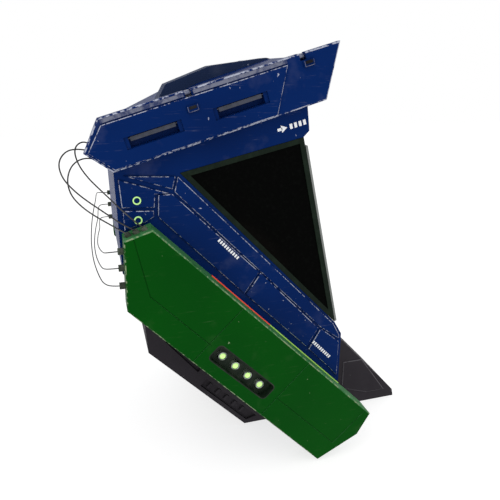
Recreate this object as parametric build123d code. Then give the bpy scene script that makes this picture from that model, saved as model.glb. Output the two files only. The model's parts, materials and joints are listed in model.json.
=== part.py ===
from build123d import *
import math
import os

# A stock-handling crate of folded sheet steel. It stands on a narrow ballast keel and slopes down
# towards the front. A slanted head box carries a lift-up hatch on its near side, a wedge-shaped cab
# opens at the front through a hinged gate, and a green side pod is bolted along each flank.
#
# Lengths are millimetres. Profile points are (station, height): the station is measured forward
# from the rear datum line and the height from the floor. The model's origin is the middle of the
# keel's flat base.

# Widths, from the middle plane outwards
body_half_width = 500
keel_half_width = 206
cowl_half_width = 60
pod_thickness = 115
sheet = 8
panel_proud = 10
hatch_gap = 6
hatch_thickness = 50
door_proud = 7

# Keel
keel_base_start = 690
keel_base_end = 1660
keel_recess_depth = 14
cleat_count = 5

# Side window and front gate
window_seal_width = 22
window_glass = 8
gate_thickness = 10
gate_frame_width = 42
gate_gap = 3
gate_side_gap = 4
gate_pin_radius = 6
gate_pin_offset = 16
knuckle_radius = 13
knuckle_length = 60

# Hatch, in its own plane: s runs forward along its lower edge and w runs up across it
hatch_slope = 16.2
hatch_width = 211
hinge_pin_radius = 5
hinge_pin_drop = 15
hinge_notch = 28
hinge_arm = 22
hinge_stations = (372, 862)
running_gap = 0.05

# Recessed grips and their release levers
grip_stations = (197, 563)
grip_centre_w = 90
grip_length = 248
grip_width = 62
grip_depth = 32
grip_flange = 7
pocket_margin = 9
pocket_end = 24
lever_gap = 3
lever_length = 184
lever_width = 16
lever_thickness = 8
trunnion_radius = 3
trunnion_length = 12

# Pods
pod_wall = 8
pod_seam = 4
lamp_count = 4
lamp_pitch = 85
lamp_radius = 20
lamp_recess_length = 385
lamp_recess_width = 92
lamp_recess_depth = 42
lamp_middle = (566, 605)
gauge_width = 7
gauge_height = 4

# Cable ends
socket_radius = 13
socket_height = 14
connector_size = (26, 24, 22)
ring_radius = 17
ring_tube = 4
gland_radius = 12
gland_length = 14
dark_cable = 6
grey_cable = 5
bend_share = 0.45

origin_station = (keel_base_start + keel_base_end) / 2
parts = {}


def at(point, y=0):
    """The model-space position of a profile point at a given y."""
    return Vector(point[0] - origin_station, y, point[1])


def outline(points):
    """A flat face in the profile plane."""
    return make_face(Polyline(*[at(p) for p in points], close=True))


def slab(face, y_low, y_high):
    """A profile face given a thickness across the machine."""
    return extrude(face, amount=y_high - y_low, dir=(0, 1, 0)).moved(Location((0, y_low, 0)))


def inset(face, distance):
    """The face with its edge moved inwards."""
    return offset(face, -distance, kind=Kind.INTERSECTION)


def toward(a, b, share):
    """The point a given share of the way from a to b."""
    return (a[0] + (b[0] - a[0]) * share, a[1] + (b[1] - a[1]) * share)


def shifted(a, b, distance):
    """The points a and b moved sideways, to the left of the way from a to b."""
    length = math.dist(a, b)
    dx = -(b[1] - a[1]) / length * distance
    dz = (b[0] - a[0]) / length * distance
    return (a[0] + dx, a[1] + dz), (b[0] + dx, b[1] + dz)


def strip(a, b, width):
    """A straight band from a to b, lying to the left of the line."""
    c, d = shifted(a, b, width)
    return outline([a, b, d, c])


def broken(face, proud, y_low, y_high):
    """A panel with its outer edge broken: the outer face is on the y_low side."""
    body = slab(face, y_low, y_high)
    outer = body.faces().sort_by(Axis.Y)[0]
    return chamfer(outer.edges(), proud)


def solid_only(shape):
    """The shape as a plain part made of its solids."""
    solids = shape.solids()
    return solids[0] if len(solids) == 1 else Compound(children=list(solids))


def keep(name, shape):
    parts[name] = solid_only(shape)


def mirrored(shape):
    """The same piece on the far side."""
    return mirror(shape, about=Plane.XZ)


def group(shapes):
    """Separate solids kept together as one piece."""
    return Compound(children=[solid for shape in shapes for solid in shape.solids()])


def keep_both(name, shape):
    """A near piece and its mirror image on the far side, as two nodes."""
    keep("near_" + name, shape)
    keep("far_" + name, mirrored(shape))


def keep_pair(name, shape):
    """A near piece and its mirror image on the far side, in one node."""
    keep(name, group([shape, mirrored(shape)]))


# Profile
rear_top = (67, 1545)
window_rear = (332, 1530)
window_top = (879, 1658)
window_front = (1079, 737)
nose_top = (1118, 668)
nose_low = (1118, 300)
belly_front = (930, 198)
belly_rear = (70, 1112)
body_points = [rear_top, window_rear, window_front, nose_top, nose_low, belly_front, belly_rear]

head_brow = (904, 1684)
roof_front = (868, 1986)
roof_middle = (500, 1872)
roof_rear = (48, 1658)
head_points = [rear_top, window_rear, window_top, head_brow, roof_front, roof_middle, roof_rear]

keel_points = [
    (168, 940),
    (168, 690),
    (175, 548),
    (keel_base_start, 0),
    (keel_base_end, 0),
    (1650, 46),
    (1283, 446),
    (1170, 560),
    (1118, 560),
    (1118, 300),
    (930, 198),
    (248, 922),
]

pod_points = [(80, 1290), (198, 1327), (1257, 234), (1190, 120), (970, 12), (72, 985)]


# Keel: one ballast casting under the belly, with a recessed side panel and cleats on each flank
keel_face = outline(keel_points)
keel = slab(keel_face, -keel_half_width, keel_half_width)
recess_points = [(262, 600), (300, 606), (470, 425), (430, 386)]
cleat_points = [(440, 300), (475, 336), (760, 40), (700, 24)]
for side in (-1, 1):
    for pocket in (recess_points, cleat_points):
        cut = slab(outline(pocket), -keel_recess_depth, keel_recess_depth)
        keel -= cut.moved(Location((0, side * keel_half_width, 0)))
keep("keel", keel)

cleats = []
for i in range(cleat_count):
    foot_point = toward((462, 296), (690, 60), (i + 0.5) / cleat_count)
    head_point = (foot_point[0] + 24, foot_point[1] + 22)
    cleats.append(strip(foot_point, head_point, 16))
keep_pair("cleats", group([slab(c, -keel_half_width,
                                -keel_half_width + keel_recess_depth) for c in cleats]))

nose_ridge = outline([(1300, 300), (1420, 300), (1590, 60), (1470, 60), (1300, 120)])
keep_pair("keel_plates", broken(nose_ridge, 4, -keel_half_width - 6, -keel_half_width))

# Body box: folded rear wall, belly and nose, closed by the side sheets
body_face = outline(body_points)
body_inside = slab(inset(body_face, sheet), -body_half_width, body_half_width)
body_box = slab(body_face, -body_half_width + sheet, body_half_width - sheet) - body_inside
keep("body_box", body_box)
keep_both("side_sheet", slab(body_face, -body_half_width, -body_half_width + sheet))

# Head box: folded roof, brow and ceiling, closed by its side sheets
head_face = outline(head_points)
head_inside = slab(inset(head_face, sheet), -body_half_width, body_half_width)
head_box = slab(head_face, -body_half_width + sheet, body_half_width - sheet) - head_inside
head_box -= slab(body_face, -body_half_width, body_half_width)
keep("head_box", head_box)
head_side = slab(head_face, -body_half_width, -body_half_width + sheet)
keep_both("head_side", head_side - slab(body_face, -body_half_width, body_half_width))

cowl_rear = toward(roof_rear, roof_middle, 0.55)
cowl_points = [cowl_rear, (352, 1869), (570, 1952), (850, 1990), roof_front, roof_middle]
cowl = slab(outline(cowl_points), -cowl_half_width, cowl_half_width)
keep("roof_cowl", cowl)

# Side panels stand proud of the side sheets, and the gaps between them are the panel seams
rail_rear = (303, 1453)
rail_kink = (995, 725)
mid_rear = (225, 1354)
mid_front = (925, 615)
seam = 5
panel_back = -body_half_width
panel_front = panel_back - panel_proud
rail_line = toward(rail_rear, rail_kink, 0.545)
mid_line = toward(mid_rear, mid_front, 0.545)
rail_panel = [(322, 1522), (1070, 736), (1106, 668), (1106, 640), rail_kink, rail_rear]
mid_panel_rear = [(298, 1448), rail_line, mid_line, (230, 1350), (236, 1446)]
mid_panel_front = [shifted(rail_line, mid_line, seam)[0], (990, 722), (928, 622), shifted(rail_line,
                                                                                          mid_line, seam)[1]]
nose_panel = [(1000, 722), (1106, 630), (1106, 420), (1050, 490), (936, 612)]
quarter_panel = [(80, 1520), (296, 1448), (228, 1446), (222, 1390), (86, 1398)]
corner_panel = [(86, 1534), (300, 1462), (316, 1520)]
low_panel = [(88, 1390), (218, 1382), (218, 1352), (180, 1330), (90, 1300)]
for name, points in (
    ("rail_panel", rail_panel),
    ("mid_rear_panel", mid_panel_rear),
    ("mid_front_panel", mid_panel_front),
    ("nose_panel", nose_panel),
    ("quarter_panel", quarter_panel),
    ("corner_panel", corner_panel),
    ("low_panel", low_panel),
):
    keep_pair(name, broken(inset(outline(points), seam / 2), 3, panel_front, panel_back))

# Side window: a dark pane in a rubber seal
window_points = [window_rear, window_top, window_front]
window_face = inset(outline(window_points), 1)
pane_face = inset(window_face, window_seal_width)
seal_outer = -body_half_width - 2
seal_inner = seal_outer + 2 * sheet
pane_outer = -body_half_width + sheet / 2
keep_both("window_seal", slab(window_face, seal_outer, seal_inner) - slab(pane_face, seal_outer,
                                                                          seal_inner))
keep_both("window_pane", slab(pane_face, pane_outer, pane_outer + window_glass))

# Front gate: a framed pane hung from a pin below the brow
gate_top, gate_foot = shifted(window_front, window_top, -gate_gap)[::-1]
gate_half_width = body_half_width - gate_side_gap
gate_top = toward(gate_top, gate_foot, 0.045)
gate_foot = toward(gate_foot, gate_top, 0.004)
gate_face = strip(gate_foot, gate_top, -gate_thickness)
gate = slab(gate_face, -gate_half_width, gate_half_width)
gate_open_foot = toward(gate_foot, gate_top, gate_frame_width / math.dist(gate_foot, gate_top))
gate_open_top = toward(gate_top, gate_foot, gate_frame_width / math.dist(gate_foot, gate_top))
gate_lip = gate_thickness * 0.4
light = slab(strip(gate_open_foot, gate_open_top, -gate_thickness), -gate_half_width + gate_frame_width,
             gate_half_width - gate_frame_width)
gate_frame = gate - light
pane_low, pane_high = shifted(gate_open_foot, gate_open_top, -gate_lip / 2)
gate_pane = slab(strip(pane_low, pane_high, -(gate_thickness - gate_lip)),
                 -gate_half_width + gate_frame_width,
                 gate_half_width - gate_frame_width)
keep("gate_pane", gate_pane)

gate_dir = Vector(gate_top[0] - gate_foot[0], 0, gate_top[1] - gate_foot[1]).normalized()
gate_out = Vector(gate_dir.Z, 0, -gate_dir.X)
gate_axis = at(gate_top) + gate_dir * 14 + gate_out * gate_pin_offset


def along_y(radius, y_low, y_high, centre):
    """A round bar across the machine."""
    bar = Solid.make_cylinder(radius, y_high - y_low, Plane(origin=(centre.X, y_low, centre.Z), z_dir=(0,
                                                                                                       1, 0)))
    return bar


gate_lugs = []
gate_bosses = []
gate_pins = []
for middle in (-330, 330):
    lug = along_y(knuckle_radius, middle - knuckle_length / 2, middle + knuckle_length / 2, gate_axis)
    plate_end = at(gate_top) + gate_dir * -30 + gate_out * 6
    web = make_face(Polyline(
        gate_axis + gate_out * knuckle_radius, gate_axis - gate_out * 6,
        plate_end - gate_out * 1, plate_end + gate_out * (knuckle_radius - 4), close=True))
    lug += slab(web, middle - knuckle_length / 2, middle + knuckle_length / 2)
    lug -= along_y(gate_pin_radius + running_gap, middle - knuckle_length, middle + knuckle_length,
                   gate_axis)
    gate_lugs.append(lug)
    for side in (-1, 1):
        inner = middle + side * (knuckle_length / 2 + 1)
        low, high = sorted((inner, inner + side * 24))
        boss = along_y(knuckle_radius, low, high, gate_axis)
        root = at(head_brow)
        ear = make_face(Polyline(
            gate_axis + Vector(knuckle_radius, 0, 0), gate_axis - Vector(knuckle_radius, 0, 0),
            Vector(root.X - 10, 0, root.Z + 56), Vector(root.X + 14, 0, root.Z + 56), close=True))
        boss += slab(ear, low, high)
        boss -= slab(head_face, -body_half_width, body_half_width)
        boss -= along_y(gate_pin_radius, low, high, gate_axis)
        gate_bosses.append(boss)
    gate_pins.append(along_y(gate_pin_radius, middle - knuckle_length / 2 - 25,
                             middle + knuckle_length / 2 + 25,
                             gate_axis))
for lug in gate_lugs:
    gate_frame += lug
keep("gate_frame", gate_frame)
keep("gate_brackets", Compound(children=[solid_only(b) for b in gate_bosses]))
keep("gate_pins", Compound(children=gate_pins))

# Hatch frame of reference: its lower rear corner, forward along its lower edge, and up across it
slope = math.radians(hatch_slope)
hatch_corner = (67, 1554)
hatch_inner = -body_half_width - hatch_gap
hatch_outer = hatch_inner - hatch_thickness


def on_hatch(s, w):
    """The profile point at s along and w across the hatch."""
    return (
        hatch_corner[0] + s * math.cos(slope) - w * math.sin(slope),
        hatch_corner[1] + s * math.sin(slope) + w * math.cos(slope),
    )


def hatch_box(s_low, s_high, w_low, w_high, y_low, y_high):
    corners = [(s_low, w_low), (s_high, w_low), (s_high, w_high), (s_low, w_high)]
    return slab(outline([on_hatch(*c) for c in corners]), y_low, y_high)


def along_hatch(radius, s_low, s_high, w, y):
    start = at(on_hatch(s_low, w), y)
    ahead = (math.cos(slope), 0, math.sin(slope))
    return Solid.make_cylinder(radius, s_high - s_low, Plane(origin=start, z_dir=ahead))


hatch_edge = [on_hatch(0, 0), on_hatch(926, 2), on_hatch(1037, hatch_width), on_hatch(15, hatch_width),
              on_hatch(-80, 103)]
door_edge = [on_hatch(8, 8), on_hatch(700, 8), on_hatch(791, 184), on_hatch(18, 184), on_hatch(-64, 100)]
hatch = broken(outline(hatch_edge), 6, hatch_outer, hatch_inner)
pin_w = hatch_width - hinge_pin_drop
pin_y = hatch_inner - hatch_thickness / 2
relief = Plane(origin=at(on_hatch(0, hatch_width), hatch_inner), x_dir=(0, 1, 0),
               z_dir=(math.cos(slope), 0, math.sin(slope)))
relief_size = 15
wedge = extrude(relief * make_face(Polyline((1, 1), (1, -relief_size), (-relief_size, 1), close=True)),
                amount=1200,
                both=True)
hatch -= wedge

hinge_arms = []
hinge_pins = []
for s in hinge_stations:
    notch_low = s - hinge_notch / 2
    notch_high = s + hinge_notch / 2
    hatch -= hatch_box(notch_low, notch_high, pin_w - hinge_notch / 2, hatch_width + 1, hatch_outer - 1, 0)
    hatch -= along_hatch(hinge_pin_radius + running_gap, notch_low - 24, notch_high + 24, pin_w, pin_y)
    arm = hatch_box(s - hinge_arm / 2, s + hinge_arm / 2, pin_w - 11, pin_w + 11, pin_y, -body_half_width)
    arm += along_hatch(11, s - hinge_arm / 2, s + hinge_arm / 2, pin_w, pin_y)
    arm -= along_hatch(hinge_pin_radius, s - hinge_arm, s + hinge_arm, pin_w, pin_y)
    hinge_arms.append(arm)
    hinge_pins.append(along_hatch(hinge_pin_radius, notch_low - 23, notch_high + 23, pin_w, pin_y))
keep("hinge_arms", Compound(children=[solid_only(a) for a in hinge_arms]))
keep("hinge_pins", Compound(children=hinge_pins))

door = broken(outline(door_edge), 3, hatch_outer - door_proud, hatch_outer)
levers = []
flanges = []
trunnion_y = hatch_outer + 8
for s in grip_stations:
    s_low, s_high = s - grip_length / 2, s + grip_length / 2
    w_low, w_high = grip_centre_w - grip_width / 2, grip_centre_w + grip_width / 2
    through = hatch_box(s_low, s_high, w_low, w_high, hatch_outer - door_proud - 1,
                        hatch_outer + grip_depth)
    door -= through
    pocket = hatch_box(s_low + pocket_end, s_high - pocket_end, w_low + pocket_margin,
                       w_high - pocket_margin,
                       hatch_outer - 1, hatch_outer + grip_depth)
    hatch -= pocket
    lever_top = w_high - pocket_margin - lever_gap
    lever = hatch_box(s - lever_length / 2, s + lever_length / 2, lever_top - lever_width, lever_top,
                      trunnion_y - lever_thickness / 2, trunnion_y + lever_thickness / 2)
    trunnion_w = lever_top - lever_thickness / 2
    trunnion_reach = grip_length / 2 - pocket_end + trunnion_length
    lever += along_hatch(trunnion_radius, s - trunnion_reach, s + trunnion_reach, trunnion_w, trunnion_y)
    hatch -= along_hatch(trunnion_radius + running_gap, s - trunnion_reach - 1, s + trunnion_reach + 1,
                         trunnion_w,
                         trunnion_y)
    levers.append(lever)
    flange = hatch_box(s_low, s_high, w_low, w_high, hatch_outer - door_proud, hatch_outer)
    flange -= hatch_box(s_low + grip_flange, s_high - grip_flange, w_low + grip_flange,
                        w_high - grip_flange,
                        hatch_outer - door_proud, hatch_outer)
    flanges.append(flange)
keep("hatch_plate", hatch)
keep("hatch_door", door)
keep("rear_lever", levers[0])
keep("front_lever", levers[1])
keep("grip_frames", Compound(children=[solid_only(f) for f in flanges]))

latch_places = ((372, 168), (880, 192))
latches = []
for s, w in latch_places:
    face_y = hatch_outer - door_proud if s < 700 else hatch_outer
    low = w - 30 if s < 700 else w - 26
    latches.append(hatch_box(s - 24, s + 24, low - 12, low + 14, face_y - 5, face_y))
keep("hinge_covers", Compound(children=latches))

# The worn rubbing rail along the hatch's top edge
rail_bar = hatch_box(20, 790, hatch_width - 21, hatch_width - 7, hatch_outer - 5, hatch_outer)
for s in hinge_stations:
    rail_bar -= hatch_box(s - 20, s + 20, 0, hatch_width + 1, hatch_outer - 6, hatch_outer)
keep("hatch_rail", Compound(children=list(rail_bar.solids())))

# Pods: an open-backed pressed shell bolted to the side sheet, with a lamp tray and a gauge strip
pod_face = outline(pod_points)
pod_outer = -body_half_width - panel_proud - pod_thickness + panel_proud
pod_back = -body_half_width
pod = broken(pod_face, 5, pod_outer, pod_back)
pod -= slab(inset(pod_face, pod_wall), pod_outer + pod_wall, pod_back)


def pod_direction():
    a, b = pod_points[1], pod_points[2]
    length = math.dist(a, b)
    return ((b[0] - a[0]) / length, (b[1] - a[1]) / length)


down = pod_direction()
across = (-down[1], down[0])


def on_pod(s, w):
    """The profile point at s down the pod and w up across it from the middle of its lamps."""
    return (
        lamp_middle[0] + s * down[0] + w * across[0],
        lamp_middle[1] + s * down[1] + w * across[1],
    )


def rounded(length, width, radius, y_low, y_high):
    half_s, half_w = length / 2, width / 2
    corners = [on_pod(-half_s, -half_w), on_pod(half_s, -half_w), on_pod(half_s, half_w), on_pod(-half_s,
                                                                                                 half_w)]
    face = outline(corners)
    face = fillet(face.vertices(), radius)
    return slab(face, y_low, y_high)


tray_radius = 24
tray_wall = 5
pod -= rounded(lamp_recess_length, lamp_recess_width, tray_radius, pod_outer - 1, pod_outer + pod_wall + 1)
seams = (
    ((119, 1296), (169, 1042)),
    ((169, 1042), (422, 771)),
    ((572, 936), (333, 704)),
    ((899, 600), (654, 356)),
    ((735, 436), (1049, 102)),
    ((1049, 102), (1222, 262)),
)
for a, b in seams:
    groove = strip(*shifted(a, b, -pod_seam / 2), pod_seam)
    pod -= slab(groove, pod_outer - 1, pod_outer + 3)
keep_both("pod_shell", pod)

tray = rounded(lamp_recess_length, lamp_recess_width, tray_radius, pod_outer, pod_outer + lamp_recess_depth)
tray -= rounded(lamp_recess_length - 2 * tray_wall, lamp_recess_width - 2 * tray_wall,
                tray_radius - tray_wall,
                pod_outer - 1, pod_outer + lamp_recess_depth - tray_wall)
keep_both("lamp_tray", tray)
lamps = []
cups = []
floor_y = pod_outer + lamp_recess_depth - tray_wall
for i in range(lamp_count):
    spot = at(on_pod((i - (lamp_count - 1) / 2) * lamp_pitch, 0), floor_y)
    cup = Solid.make_cone(lamp_radius + 6, lamp_radius, 16, Plane(origin=spot, z_dir=(0, -1, 0)))
    bore = Solid.make_cylinder(lamp_radius - 5, 14, Plane(origin=spot + Vector(0, -2, 0), z_dir=(0, -1, 0)))
    cups.append(cup - bore)
    lens = Solid.make_cylinder(lamp_radius - 5, 16, Plane(origin=spot + Vector(0, -2, 0), z_dir=(0, -1, 0)))
    lamps.append(chamfer(lens.edges().sort_by(Axis.Y)[0], 5))
keep_pair("lamp_cups", group(cups))
keep_pair("lamp_lenses", group(lamps))

gauge_start = toward(pod_points[1], pod_points[2], 0.24)
gauge_split = toward(pod_points[1], pod_points[2], 0.5)
gauge_end = toward(pod_points[1], pod_points[2], 0.86)
gauge_y = pod_back - panel_proud - 2
for name, a, b in (("gauge_red", gauge_start, gauge_split), ("gauge_green", gauge_split, gauge_end)):
    keep_pair(name, slab(strip(a, b, gauge_height), gauge_y - gauge_width, gauge_y))

# Cable ends: ring sockets on the near pod's rear top, blocks on both pods' rear edges, glands on the
# head's rear wall and ring ports on the body
socket_up = Vector(-0.6, 0, 0.8)
pod_middle = (pod_outer + pod_back) / 2 - 10
socket_tops = []
sockets = []
for share in (0.2, 0.48, 0.76):
    base = at(toward(pod_points[0], pod_points[1], share), pod_middle)
    socket = Solid.make_cylinder(socket_radius, 2 * socket_height,
                                 Plane(origin=base - socket_up * socket_height,
                                                                         z_dir=socket_up))
    socket_tops.append(base + socket_up * socket_height)
    sockets.append(socket - slab(pod_face, pod_outer, pod_back))
keep("cable_sockets", group(sockets))

block_faces = []
blocks = []
for height in (1236, 1164, 1086):
    share = (pod_points[0][1] - height) / (pod_points[0][1] - pod_points[5][1])
    centre = at(toward(pod_points[0], pod_points[5], share), pod_middle)
    block = Pos(centre.X - connector_size[0] / 2 + 2, pod_middle, centre.Z) * Box(*connector_size)
    block_faces.append(centre + Vector(2 - connector_size[0], 0, 0))
    blocks.append(block - slab(pod_face, pod_outer, pod_back))
keep_pair("connector_blocks", group(blocks))

gland_faces = []
glands = []
for height in (1590, 1615, 1640):
    share = (height - rear_top[1]) / (roof_rear[1] - rear_top[1])
    wall = at(toward(rear_top, roof_rear, share), -430)
    gland_faces.append(wall - Vector(gland_length, 0, 0))
    gland = Solid.make_cylinder(gland_radius, 2 * gland_length, Plane(origin=gland_faces[-1], z_dir=(1,
                                                                                                     0, 0)))
    glands.append(gland - slab(head_face, -body_half_width, body_half_width))
keep("cable_glands", group(glands))

rings = []
for spot in ((150, 1428), (150, 1345)):
    centre = at(spot, panel_front)
    ring = Solid.make_cylinder(ring_radius, ring_tube, Plane(origin=centre, z_dir=(0, -1, 0)))
    rings.append(ring - Solid.make_cylinder(ring_radius - 5, ring_tube, Plane(origin=centre, z_dir=(0,
                                                                                                    -1, 0))))
keep_pair("port_rings", group(rings))


# Cables: route points are (station, y, height)
def cable(name, diameter, start, route, end):
    """A round cable along straight runs joined by tangent arcs."""
    points = [start] + [at((x, z), y) for x, y, z in route] + [end]
    radii = []
    for before, corner, after in zip(points, points[1:], points[2:]):
        turn = math.radians((corner - before).get_angle(after - corner))
        run = min((corner - before).length, (after - corner).length)
        radii.append(bend_share * run / math.tan(turn / 2))
    path = FilletPolyline(*points, radius=radii)
    section = Plane(origin=start, z_dir=points[1] - start) * Circle(diameter / 2)
    tube = sweep(section, path=path)
    keep(name, tube)
    share = tube.volume / (math.pi * diameter ** 2 / 4 * path.length)
    runs = [(b - a).length for a, b in zip(points, points[1:])]
    print(name, "length", round(path.length), "least radius", round(min(radii)), "runs", round(min(runs)),
          round(max(runs)), "volume share", round(share, 4))


lower_loop = [(10, -432, 1591), (-44, -438, 1600), (-90, -450, 1575), (-113, -466, 1520), (-104, -486,
                                                                                           1462),
              (-66, -508, 1416), (-20, -528, 1381), (28, -550, 1352)]
middle_loop = [(8, -432, 1617), (-48, -440, 1636), (-104, -452, 1634), (-139, -468, 1590), (-128, -492,
                                                                                            1532),
               (-86, -515, 1482), (-38, -532, 1440), (18, -549, 1398), (74, -562, 1352)]
upper_loop = [(4, -431, 1646), (-40, -444, 1668), (-74, -460, 1642), (-66, -478, 1586), (-32, -502, 1530),
              (14, -522, 1480), (62, -542, 1428), (108, -560, 1378)]
cable("dark_cable_lower", dark_cable, gland_faces[0], lower_loop, socket_tops[0])
cable("dark_cable_middle", dark_cable, gland_faces[1], middle_loop, socket_tops[1])
cable("dark_cable_upper", dark_cable, gland_faces[2], upper_loop, socket_tops[2])

far_faces = [Vector(face.X, -face.Y, face.Z) for face in block_faces]
high_link = [(12, 566, 1238), (-4, 520, 1250), (-10, 454, 1251), (-14, 386, 1241), (-22, 316, 1228),
             (-30, 246, 1214), (-37, 176, 1200), (-43, 106, 1185), (-47, 36, 1170), (-50, -34, 1156),
             (-52, -104, 1142), (-51, -174, 1129), (-49, -244, 1117), (-44, -314, 1107), (-36, -384, 1098),
             (-26, -452, 1091), (-14, -516, 1087), (12, -562, 1086)]
middle_link = [(13, 566, 1166), (-2, 520, 1164), (-8, 454, 1155), (-10, 386, 1146), (-15, 316, 1137),
               (-23, 246, 1129), (-29, 176, 1123), (-34, 106, 1118), (-37, 36, 1115), (-39, -34, 1113),
               (-39, -104, 1113), (-37, -174, 1114), (-34, -244, 1117), (-29, -314, 1122), (-23, -384,
                                                                                            1129),
               (-16, -452, 1138), (-8, -514, 1149), (12, -560, 1161)]
low_link = [(11, 566, 1087), (-3, 520, 1085), (-6, 454, 1085), (-6, 386, 1087), (-7, 316, 1089),
            (-12, 246, 1093), (-17, 176, 1098), (-20, 106, 1104), (-22, 36, 1112), (-23, -34, 1121),
            (-23, -104, 1131), (-21, -174, 1143), (-18, -244, 1156), (-14, -314, 1170), (-9, -384, 1185),
            (-4, -450, 1201), (2, -512, 1217), (16, -558, 1232)]
cable("grey_cable_high", grey_cable, far_faces[0], high_link, block_faces[2])
cable("grey_cable_middle", grey_cable, far_faces[1], middle_link, block_faces[1])
cable("grey_cable_low", grey_cable, far_faces[2], low_link, block_faces[0])

os.makedirs("parts", exist_ok=True)
for name, shape in parts.items():
    export_step(shape, f"parts/{name}.step")
print(len(parts), "nodes")
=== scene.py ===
import json
import math

import bpy
from mathutils import Matrix, Vector


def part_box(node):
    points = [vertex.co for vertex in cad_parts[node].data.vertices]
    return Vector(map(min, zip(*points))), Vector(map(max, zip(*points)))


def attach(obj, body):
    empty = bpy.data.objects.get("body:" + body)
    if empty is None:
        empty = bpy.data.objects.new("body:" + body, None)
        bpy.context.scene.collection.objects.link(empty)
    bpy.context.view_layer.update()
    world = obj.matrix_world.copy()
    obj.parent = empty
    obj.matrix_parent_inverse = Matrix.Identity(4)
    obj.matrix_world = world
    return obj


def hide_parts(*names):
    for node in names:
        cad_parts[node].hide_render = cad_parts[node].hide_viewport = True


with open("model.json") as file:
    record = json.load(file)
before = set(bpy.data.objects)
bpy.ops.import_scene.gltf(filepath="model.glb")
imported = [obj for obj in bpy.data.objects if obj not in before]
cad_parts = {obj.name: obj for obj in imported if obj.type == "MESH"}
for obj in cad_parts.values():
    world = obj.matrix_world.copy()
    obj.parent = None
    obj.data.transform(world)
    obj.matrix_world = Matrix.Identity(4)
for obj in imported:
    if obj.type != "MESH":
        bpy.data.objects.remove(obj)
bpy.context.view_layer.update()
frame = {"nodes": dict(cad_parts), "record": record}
nodes = frame["nodes"]


# Cables: rubber-sheathed leads of one length each, made off at both ends. The thicker dark ones drop from
# the head's rear wall to the near pod's sockets, and the thin grey ones cross behind the machine.
class Socket:
    """A shader socket that adds Math nodes where it is used in a sum."""

    def __init__(self, tree, out=None):
        self.tree = tree
        self.out = out

    def node(self, kind, settings=None, inputs=None, output=0):
        """Adds a node: its settings are set first, then the values or links of its sockets."""
        made = self.tree.nodes.new("ShaderNode" + kind)
        for name, value in (settings or {}).items():
            setattr(made, name, value)
        for key, value in (inputs or {}).items():
            if isinstance(value, Socket):
                self.tree.links.new(value.out, made.inputs[key])
            else:
                made.inputs[key].default_value = value
        return Socket(self.tree, made.outputs[output])

    def math(self, operation, a, b=0.0):
        """One Math node."""
        return self.node("Math", {"operation": operation}, {0: a, 1: b})

    def __add__(self, other):
        return self.math("ADD", self, other)

    def __sub__(self, other):
        return self.math("SUBTRACT", self, other)

    def __rsub__(self, other):
        return self.math("SUBTRACT", other, self)

    def __mul__(self, other):
        return self.math("MULTIPLY", self, other)

    __radd__ = __add__
    __rmul__ = __mul__

    def above(self, edge, softness):
        """0 below the edge and 1 above it, with a soft step between."""
        inputs = {"Value": self, "From Min": edge - softness, "From Max": edge + softness}
        return self.node("MapRange", {"clamp": True}, inputs)

    def noise(self, coords, scale, detail=2.0, rough=0.5):
        """Cloudy noise between 0 and 1; a larger scale gives finer spots."""
        inputs = {"Vector": coords, "Scale": scale, "Detail": detail, "Roughness": rough}
        return self.node("TexNoise", {}, inputs)

    def mix(self, factor, a, b):
        """Colour a where the factor is 0 and colour b where it is 1."""
        return self.node("Mix", {"data_type": "RGBA"}, {"Factor": factor, 6: a, 7: b}, output=2)

    def place(self):
        """The position in the piece's own frame, in metres."""
        return self.node("TexCoord", {}, {}, output="Object")

    def facing(self):
        """The three parts of the surface direction in the piece's own frame."""
        direction = self.node("TexCoord", {}, {}, output="Normal")
        return [self.node("SeparateXYZ", {}, {0: direction}, output=i) for i in range(3)]


def new_material(name):
    """A material, its shader and a socket helper on its node tree."""
    material = bpy.data.materials.new(name)
    material.use_nodes = True
    tree = material.node_tree
    shader = tree.nodes["Principled BSDF"]
    return material, shader, Socket(tree)


def feed(tree, shader, **links):
    """Links sockets to the shader's inputs, by name with underscores for spaces."""
    for name, value in links.items():
        tree.tree.links.new(value.out, shader.inputs[name.replace("_", " ")])


def bump(s, height, strength, distance):
    """A Bump node on a height."""
    return s.node("Bump", {}, {"Height": height, "Strength": strength, "Distance": distance})


def rgb(red, green, blue):
    """An opaque colour in linear light."""
    return (red, green, blue, 1.0)


def sheath_material(name, colour, dusty):
    """Rubber sheath with a film of dust in places."""
    material, shader, s = new_material(name)
    place = s.place()
    dust = s.noise(place, 22.0, 3.0).above(0.56, 0.12)
    feed(s, shader, Base_Color=s.mix(dust * 0.6, colour, dusty))
    feed(s, shader, Roughness=s.noise(place, 90.0) * 0.25 + 0.3)
    feed(s, shader, Normal=bump(s, s.noise(place, 700.0), 0.15, 0.0004))
    return material


dark_sheath = sheath_material("dark_sheath", rgb(0.012, 0.012, 0.013), rgb(0.06, 0.06, 0.055))
grey_sheath = sheath_material("grey_sheath", rgb(0.04, 0.041, 0.043), rgb(0.12, 0.12, 0.115))
base_station = 1.175
socket_tops = [(-1.0798, -0.5675, 1.3086), (-1.04676, -0.5675, 1.31896), (-1.01372, -0.5675, 1.32932)]
gland_faces = [(-1.12957, -0.430, 1.590), (-1.13377, -0.430, 1.615), (-1.13797, -0.430, 1.640)]
block_faces = [(-1.12042, -0.5675, 1.236), (-1.12230, -0.5675, 1.164), (-1.12435, -0.5675, 1.086)]
far_faces = [(x, -y, z) for x, y, z in block_faces]

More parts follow.
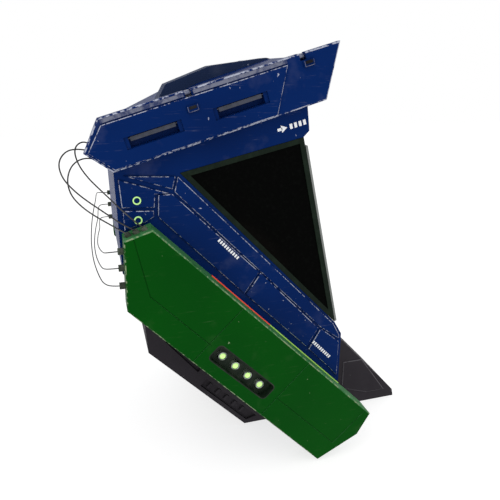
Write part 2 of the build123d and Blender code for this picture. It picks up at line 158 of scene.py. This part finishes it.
lower_loop = [(10, -432, 1591), (-44, -438, 1600), (-90, -450, 1575), (-113, -466, 1520),
              (-104, -486, 1462), (-66, -508, 1416), (-20, -528, 1381), (28, -550, 1352)]
middle_loop = [(8, -432, 1617), (-48, -440, 1636), (-104, -452, 1634), (-139, -468, 1590),
               (-128, -492, 1532), (-86, -515, 1482), (-38, -532, 1440), (18, -549, 1398),
               (74, -562, 1352)]
upper_loop = [(4, -431, 1646), (-40, -444, 1668), (-74, -460, 1642), (-66, -478, 1586),
              (-32, -502, 1530), (14, -522, 1480), (62, -542, 1428), (108, -560, 1378)]
high_link = [(12, 566, 1238), (-4, 520, 1250), (-10, 454, 1251), (-14, 386, 1241), (-22, 316, 1228),
             (-30, 246, 1214), (-37, 176, 1200), (-43, 106, 1185), (-47, 36, 1170), (-50, -34, 1156),
             (-52, -104, 1142), (-51, -174, 1129), (-49, -244, 1117), (-44, -314, 1107),
             (-36, -384, 1098), (-26, -452, 1091), (-14, -516, 1087), (12, -562, 1086)]
middle_link = [(13, 566, 1166), (-2, 520, 1164), (-8, 454, 1155), (-10, 386, 1146), (-15, 316, 1137),
               (-23, 246, 1129), (-29, 176, 1123), (-34, 106, 1118), (-37, 36, 1115), (-39, -34, 1113),
               (-39, -104, 1113), (-37, -174, 1114), (-34, -244, 1117), (-29, -314, 1122),
               (-23, -384, 1129), (-16, -452, 1138), (-8, -514, 1149), (12, -560, 1161)]
low_link = [(11, 566, 1087), (-3, 520, 1085), (-6, 454, 1085), (-6, 386, 1087), (-7, 316, 1089),
            (-12, 246, 1093), (-17, 176, 1098), (-20, 106, 1104), (-22, 36, 1112), (-23, -34, 1121),
            (-23, -104, 1131), (-21, -174, 1143), (-18, -244, 1156), (-14, -314, 1170),
            (-9, -384, 1185), (-4, -450, 1201), (2, -512, 1217), (16, -558, 1232)]


def cable(name, node, diameter, start, route, end, material):
    """A round cable on one smooth line from its gland to its socket."""
    curve = bpy.data.curves.new(name, "CURVE")
    curve.dimensions = "3D"
    curve.resolution_u = 10
    curve.bevel_depth = diameter / 2
    curve.bevel_resolution = 4
    curve.use_fill_caps = True
    points = [start] + [(x / 1000 - base_station, y / 1000, z / 1000) for x, y, z in route] + [end]
    spline = curve.splines.new("NURBS")
    spline.points.add(len(points) - 1)
    for point, place in zip(spline.points, points):
        point.co = (*place, 1.0)
    spline.order_u = 3
    spline.use_endpoint_u = True
    curve.materials.append(material)
    piece = bpy.data.objects.new(name, curve)
    bpy.context.scene.collection.objects.link(piece)
    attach(piece, "frame")
    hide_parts(node)


dark_leads = [("lower", 0.528, lower_loop), ("middle", 0.609, middle_loop), ("upper", 0.538, upper_loop)]
for (level, length, route), start, end in zip(dark_leads, gland_faces, socket_tops):
    cable(f"lead_{level}", f"dark_cable_{level}", 0.006, start, route, end, dark_sheath)
grey_links = [("high", 1.232, high_link), ("middle", 1.215, middle_link), ("low", 1.215, low_link)]
for (level, length, route), start, end in zip(grey_links, far_faces, reversed(block_faces)):
    cable(f"link_{level}", f"grey_cable_{level}", 0.005, start, route, end, grey_sheath)


# Body paint: two-part gloss over zinc primer on folded steel. It wears through to pale primer and bare
# steel along the broken edges, and picks up chips and fine rubbing marks on the flats.
def paint_material(name, colour, deep, worn, wear=0.5, chips=0.705, gloss=0.38, top_highlight=None):
    """Industrial paint: worn on the narrow broken edges, chipped and rubbed on the flats."""
    material, shader, s = new_material(name)
    place = s.place()
    nx, ny, nz = s.facing()
    side = s.math("ABSOLUTE", ny)
    edge = side.above(0.25, 0.05) * (1 - side.above(0.93, 0.03))
    patchy = s.noise(place, 14.0, 6.0, 0.7)
    broken = patchy * 0.5 + s.noise(place, 70.0, 3.0) * 0.5
    edge_worn = edge * broken.above(wear, 0.035)
    drift = s.noise(place, 2.2, 3.0)
    base = s.mix(drift.above(0.5, 0.25), colour, deep)
    streaks = {"Vector": place, "Rotation": (0.0, 0.8, 0.0), "Scale": (3.0, 40.0, 60.0)}
    stretched = s.node("Mapping", {}, streaks)
    rubbed = s.noise(stretched, 3.0, 5.0, 0.65).above(0.66, 0.04) * patchy.above(0.5, 0.1)
    base = s.mix(rubbed * 0.12, base, worn)
    cloud = s.noise(place, 5.0, 4.0, 0.6).above(0.64, 0.06)
    base = s.mix(cloud * 0.035, base, worn)
    chipped = s.noise(place, 38.0, 4.0, 0.6).above(chips, 0.012) * s.noise(place, 4.0).above(0.5, 0.06)
    bare = s.math("MAXIMUM", edge_worn, chipped)
    # Painted highlight: faces turned upwards get a paler colour in patches, standing in for light from
    # above.
    if top_highlight:
        upper = nz.above(0.35, 0.1) * patchy.above(0.38, 0.15)
        base = s.mix(upper, base, top_highlight)
    feed(s, shader, Base_Color=s.mix(bare, base, worn))
    feed(s, shader, Metallic=bare * 0.35)
    rough = s.noise(place, 30.0, 4.0) * 0.2 + (gloss - 0.1)
    feed(s, shader, Roughness=rough + bare * 0.2)
    peel = s.noise(place, 420.0, 2.0) * 0.3 + bare * -0.8
    feed(s, shader, Normal=bump(s, peel, 0.12, 0.0006))
    shader.inputs["Specular IOR Level"].default_value = 0.03
    return material


def dress(names, material):
    """Gives the named CAD nodes a material."""
    for name in names:
        for slot in nodes[name].material_slots:
            slot.material = material


pale_blue = rgb(0.36, 0.38, 0.46)
blue = paint_material("blue_gloss", rgb(0.0008, 0.0155, 0.098), rgb(0.0006, 0.011, 0.073), pale_blue)
dress([row["node"] for row in frame["record"]["subparts"] if row["material_slot"] == "blue_paint"], blue)
dress(["roof_cowl"],
      paint_material("cowl_satin", rgb(0.018, 0.031, 0.080), rgb(0.013, 0.024, 0.062), pale_blue,
                     gloss=0.5))


# Pods: steel shells on the two flanks, folded from sheet and sprayed green. Their upward-facing faces, on
# the upper flange where the gauge strips lie, carry a paler green in patches as a painted highlight of
# light from above.
green = paint_material("green_gloss", rgb(0.0008, 0.062, 0.0026), rgb(0.0005, 0.046, 0.0026),
                       rgb(0.20, 0.27, 0.15), wear=0.52, chips=0.735, gloss=0.42,
                       top_highlight=rgb(0.045, 0.17, 0.06))
dress(["near_pod_shell", "far_pod_shell"], green)


# Keel: one heavy casting in a dull black coating, with its plates and cleats. Its edges are rubbed grey
# where it is dragged.
keel_black = paint_material("keel_coating", rgb(0.036, 0.033, 0.038), rgb(0.022, 0.019, 0.023),
                            rgb(0.11, 0.105, 0.115), wear=0.42, gloss=0.6)
dress(["keel", "cleats", "keel_plates"], keel_black)


# Glazing: an almost opaque near-black sheet in the two triangular side windows and in the gate. Its colour
# is painted shade standing in for the dark interior behind it, with faint brown patches low down painted in
# as glimpses of that dim interior, and a little grime.
def glazing_material(name):
    """Near-black sheet as painted shade, with painted brown interior patches set by height and length."""
    material, shader, s = new_material(name)
    place = s.place()
    cloud = s.noise(place, 3.2, 2.0, 0.5)
    x = s.node("SeparateXYZ", {}, {0: place}, output=0)
    z = s.node("SeparateXYZ", {}, {0: place}, output=2)
    low = 1 - (z + x * 1.05).above(0.62, 0.14)
    painted_interior_patches = low * cloud.above(0.48, 0.08)
    grime = s.noise(place, 60.0, 5.0, 0.7).above(0.6, 0.1)
    # Painted shade: near-black for the dark interior, lifted to brown where the painted interior patches
    # lie.
    painted_interior_shade = s.mix(painted_interior_patches * 0.7, rgb(0.0012, 0.0013, 0.0012), rgb(0.0075, 0.0055, 0.0048))
    feed(s, shader, Base_Color=s.mix(grime * 0.02, painted_interior_shade, rgb(0.05, 0.06, 0.05)))
    feed(s, shader, Roughness=grime * 0.2 + 0.22)
    shader.inputs["Specular IOR Level"].default_value = 0.01
    return material


glazing = glazing_material("glazing_painted_shade")
dress(["near_window_pane", "far_window_pane", "gate_pane"], glazing)


# Seals, cable fittings and lamp trays: moulded rubber and filled plastic, with a fine grain and some dust.
# The seals go round the side windows, and the fittings take the ends of the cables.
def moulded_material(name, colour, dusty, rough, grain):
    """Moulded rubber or plastic; a larger grain is finer."""
    material, shader, s = new_material(name)
    place = s.place()
    dust = s.noise(place, 18.0, 4.0, 0.6).above(0.58, 0.1)
    feed(s, shader, Base_Color=s.mix(dust * 0.5, colour, dusty))
    feed(s, shader, Roughness=s.noise(place, 60.0) * 0.2 + rough)
    feed(s, shader, Normal=bump(s, s.noise(place, grain, 2.0), 0.25, 0.0005))
    shader.inputs["Specular IOR Level"].default_value = 0.12
    return material


dress(["near_window_seal", "far_window_seal"],
      moulded_material("green_seal", rgb(0.002, 0.007, 0.003), rgb(0.008, 0.018, 0.009), 0.55, 500.0))
dress(["cable_sockets", "connector_blocks", "cable_glands"],
      moulded_material("fitting_grey", rgb(0.035, 0.045, 0.032), rgb(0.16, 0.19, 0.14), 0.5, 350.0))
dress(["near_lamp_tray", "far_lamp_tray"],
      moulded_material("tray_black", rgb(0.008, 0.016, 0.009), rgb(0.04, 0.05, 0.035), 0.35, 450.0))


# Metal parts: the hatch rail, hinge arms, pins, grip levers and lamp cups are bare metal, streaked along
# their length and stained in patches. The gate's frame and brackets are in a grey satin paint.
def steel_material(name, colour, stain, rough):
    """Bare metal, dull where it is stained."""
    material, shader, s = new_material(name)
    place = s.place()
    streaked = s.node("Mapping", {}, {"Vector": place, "Scale": (12.0, 60.0, 90.0)})
    streak = s.noise(streaked, 2.0, 5.0, 0.7)
    patches = s.noise(place, 26.0, 5.0, 0.7).above(0.52, 0.08)
    feed(s, shader, Base_Color=s.mix(patches, colour, stain))
    feed(s, shader, Metallic=1 - patches * 0.7)
    feed(s, shader, Roughness=streak * 0.3 + rough)
    feed(s, shader, Normal=bump(s, streak, 0.2, 0.0005))
    return material


worn_steel = steel_material("worn_steel", rgb(0.17, 0.18, 0.24), rgb(0.012, 0.024, 0.09), 0.3)
dress(["hatch_rail", "hinge_arms"], worn_steel)
dress(["hinge_covers"], blue)
dress(["gate_pins", "hinge_pins"],
      steel_material("pin_steel", rgb(0.5, 0.5, 0.5), rgb(0.2, 0.19, 0.17), 0.2))
dress(["rear_lever", "front_lever"],
      steel_material("lever_metal", rgb(0.075, 0.08, 0.105), rgb(0.03, 0.035, 0.05), 0.4))
dress(["gate_frame", "gate_brackets"],
      paint_material("gate_satin", rgb(0.23, 0.24, 0.23), rgb(0.16, 0.17, 0.16), rgb(0.5, 0.5, 0.48),
                     gloss=0.5))
dress(["lamp_cups"], steel_material("cup_chrome", rgb(0.32, 0.36, 0.32), rgb(0.05, 0.07, 0.05), 0.12))


# Lit parts: frosted lenses in the lamp cups, the gauge strips along the pods and the rings round the ports.
# They glow evenly, with a slight mottle in the plastic.
def lit_material(name, colour, dim, strength):
    """Frosted plastic lit from behind."""
    material, shader, s = new_material(name)
    place = s.place()
    mottled = s.noise(place, 120.0, 3.0).above(0.5, 0.3)
    glow = s.mix(mottled * 0.35, colour, dim)
    feed(s, shader, Base_Color=glow, Emission_Color=glow)
    feed(s, shader, Roughness=mottled * 0.2 + 0.25)
    shader.inputs["Emission Strength"].default_value = strength
    return material


dress(["lamp_lenses"], lit_material("lens_glow", rgb(0.55, 0.86, 0.28), rgb(0.36, 0.70, 0.16), 0.45))
dress(["port_rings"], lit_material("ring_glow", rgb(0.36, 0.62, 0.20), rgb(0.2, 0.4, 0.12), 0.55))
dress(["gauge_red"], lit_material("gauge_red", rgb(0.6, 0.05, 0.02), rgb(0.5, 0.03, 0.02), 0.5))
dress(["gauge_green"], lit_material("gauge_green", rgb(0.30, 0.52, 0.08), rgb(0.2, 0.4, 0.06), 0.35))


# Markings: thick white paint laid through a stencil, a little chipped. Rows of plain bars are on the flank
# panels and the head, and a plain arrow points forward beside the head's row.
def select_none():
    """Deselects everything, as each operator acts on all that is selected."""
    bpy.ops.object.select_all(action="DESELECT")


def settle(piece, name, material, body):
    """Puts the piece's place in its mesh, names it and lets it ride."""
    select_none()
    piece.select_set(True)
    bpy.context.view_layer.objects.active = piece
    bpy.ops.object.transform_apply(location=True, rotation=True, scale=True)
    piece.name = name
    piece.data.name = name
    piece.data.materials.clear()
    piece.data.materials.append(material)
    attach(piece, body)


def block(size, middle, turn, bevel):
    """A bevelled block: its size, middle, and turn about the machine's cross axis."""
    select_none()
    bpy.ops.mesh.primitive_cube_add(size=1, location=middle, rotation=(0, turn, 0))
    piece = bpy.context.active_object
    piece.scale = size
    bpy.ops.object.transform_apply(location=False, rotation=False, scale=True)
    bpy.ops.object.mode_set(mode="EDIT")
    bpy.ops.mesh.select_all(action="SELECT")
    bpy.ops.mesh.bevel(offset=bevel, segments=2, affect="EDGES")
    bpy.ops.object.mode_set(mode="OBJECT")
    return piece


def joined(pieces):
    """The pieces as one mesh object at the origin."""
    for piece in pieces:
        select_none()
        piece.select_set(True)
        bpy.context.view_layer.objects.active = piece
        bpy.ops.object.transform_apply(location=True, rotation=True, scale=True)
    select_none()
    for piece in pieces:
        piece.select_set(True)
    bpy.context.view_layer.objects.active = pieces[0]
    bpy.ops.object.join()
    return bpy.context.active_object


def marking_material():
    """White paint with the blue showing through its chips."""
    material, shader, s = new_material("marking_white")
    place = s.place()
    chip = s.noise(place, 90.0, 4.0, 0.6).above(0.76, 0.03)
    feed(s, shader, Base_Color=s.mix(chip, rgb(0.78, 0.79, 0.8), rgb(0.02, 0.05, 0.16)))
    feed(s, shader, Roughness=s.noise(place, 60.0) * 0.2 + 0.4)
    return material


marking = marking_material()
mark_thickness = 0.0012
panel_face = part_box("mid_rear_panel")[0].y


def at(station, height, y):
    """A model-space position from a station and height in millimetres."""
    return Vector((station / 1000 - base_station, y, height / 1000))


def dashes(middle, slope, count, pitch, height, y):
    """A row of short upright bars along a sloping line."""
    made = []
    for i in range(count):
        along = (i - (count - 1) / 2) * pitch
        place = middle + Vector((math.cos(slope), 0, -math.sin(slope))) * along
        place.y = y - mark_thickness / 2
        width = pitch * 0.6
        made.append(block((width, mark_thickness, height), place, slope, 0.0003))
    return made


flank_slope = math.radians(47)
brow_slope = math.radians(-15)
marks = dashes(at(533, 1181, panel_face), flank_slope, 10, 0.0135, 0.015, panel_face)
marks += dashes(at(1008, 600, panel_face), flank_slope, 10, 0.0145, 0.016, panel_face)
head_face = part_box("near_head_side")[0].y
marks += dashes(at(849, 1713, head_face), brow_slope, 4, 0.021, 0.022, head_face)
settle(joined(marks), "stencil_bars", marking, "frame")

arrow_radius = 0.018
arrow_middle = at(768, 1692, head_face - mark_thickness / 2)
shaft = block((0.022, mark_thickness, 0.012), arrow_middle, brow_slope, 0.0003)
select_none()
bpy.ops.mesh.primitive_cylinder_add(vertices=3, radius=arrow_radius, depth=mark_thickness,
                                    location=arrow_middle + Vector((0.0155, 0, 0.0041)))
head = bpy.context.active_object
head.rotation_euler = (math.radians(90), brow_slope + math.radians(90), 0)
settle(joined([shaft, head]), "stencil_arrow", marking, "frame")


# Hinge covers: small plates over the hatch's two knuckles, in the body's blue. Each has a slot, drawn as a
# near-black block that is painted shade for the inside of the slot, with rubbed steel bars down its sides
# and along its lower edge.
hatch_slope = math.radians(16.2)
cover_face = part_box("hinge_covers")[0].y
covers = nodes["hinge_covers"]
cover_places = [covers.matrix_world @ vertex.co for vertex in covers.data.vertices]
cover_middle = sum(place.x for place in cover_places) / len(cover_places)
slot_length = 0.030
rim_depth = 0.003
rim_length = 0.042
rim_width = 0.0022
rim_height = 0.022
rim_reach = 0.020
rim_bevel = 0.0006
slots = []
rims = []
for rear in (True, False):
    group = [place for place in cover_places if (place.x < cover_middle) == rear]
    x_middle = (min(place.x for place in group) + max(place.x for place in group)) / 2
    z_middle = (min(place.z for place in group) + max(place.z for place in group)) / 2
    centre = Vector((x_middle, cover_face, z_middle))
    along = Vector((math.cos(hatch_slope), 0, math.sin(hatch_slope)))
    across = Vector((-math.sin(hatch_slope), 0, math.cos(hatch_slope)))
    slots.append(block((slot_length, rim_depth, 0.012), centre + across * 0.004, -hatch_slope, 0.0008))
    for side in (-1, 1):
        upright = centre + along * side * rim_reach
        rims.append(block((rim_width, rim_depth, rim_height), upright, -hatch_slope, rim_bevel))
    lower_bar = centre - across * rim_height / 2
    rims.append(block((rim_length, rim_depth, rim_width), lower_bar, -hatch_slope, rim_bevel))
# Painted shade: the near-black slot blocks stand in for the shade inside the slots.
slot_shade = moulded_material("hinge_slot_painted_shade", rgb(0.004, 0.004, 0.005), rgb(0.02, 0.02, 0.025),
                              0.5, 300.0)
settle(joined(slots), "hinge_slot_shade", slot_shade, "hatch")
settle(joined(rims), "hinge_rims", worn_steel, "hatch")


# Studio: a white floor and white surroundings, with two large soft lamps. The camera is at a standing
# person's eye level beside the rear quarter, and looks a little down and forward.
camera_data = bpy.data.cameras.new("camera")
camera_data.lens = 37.3
camera_data.sensor_width = 36
camera = bpy.data.objects.new("camera", camera_data)
bpy.context.scene.collection.objects.link(camera)
camera_right = Vector((0.958, -0.287, 0.0))
camera_up = Vector((0.0936, 0.312, 0.9455))
camera_back = camera_right.cross(camera_up)
camera_turn = Matrix((camera_right, camera_up, camera_back)).transposed().to_4x4()
camera_place = (-1.175, -2.620, 1.926)
camera.matrix_world = Matrix.Translation(camera_place) @ camera_turn
bpy.context.scene.camera = camera

floor_size = 30
select_none()
bpy.ops.mesh.primitive_plane_add(size=floor_size, location=(0, 0, 0))
floor = bpy.context.active_object
floor.name = "floor"
floor_material, floor_shader = new_material("floor_white")[:2]
floor_shader.inputs["Base Color"].default_value = rgb(0.4, 0.4, 0.4)
floor_shader.inputs["Roughness"].default_value = 0.9
floor_shader.inputs["Specular IOR Level"].default_value = 0.0
floor_shader.inputs["Emission Color"].default_value = rgb(1, 1, 1)
floor_shader.inputs["Emission Strength"].default_value = 0.7
floor.data.materials.append(floor_material)

world = bpy.data.worlds.new("studio")
world.use_nodes = True
world.node_tree.nodes["Background"].inputs["Color"].default_value = rgb(1, 1, 1)
world.node_tree.nodes["Background"].inputs["Strength"].default_value = 1.0
bpy.context.scene.world = world
bpy.context.scene.view_settings.view_transform = "Standard"


def soft_light(name, place, target, size, power):
    """A square lamp at a place, turned to its target."""
    data = bpy.data.lights.new(name, "AREA")
    data.shape = "SQUARE"
    data.size = size
    data.energy = power
    light = bpy.data.objects.new(name, data)
    light.location = place
    light.rotation_euler = (Vector(target) - Vector(place)).to_track_quat("-Z", "Y").to_euler()
    bpy.context.scene.collection.objects.link(light)


soft_light("key", (-2.5, -2.5, 5.0), (0, 0, 1), 2.5, 45)
soft_light("fill", (3.5, -3.0, 2.5), (0, 0, 1), 3.0, 15)
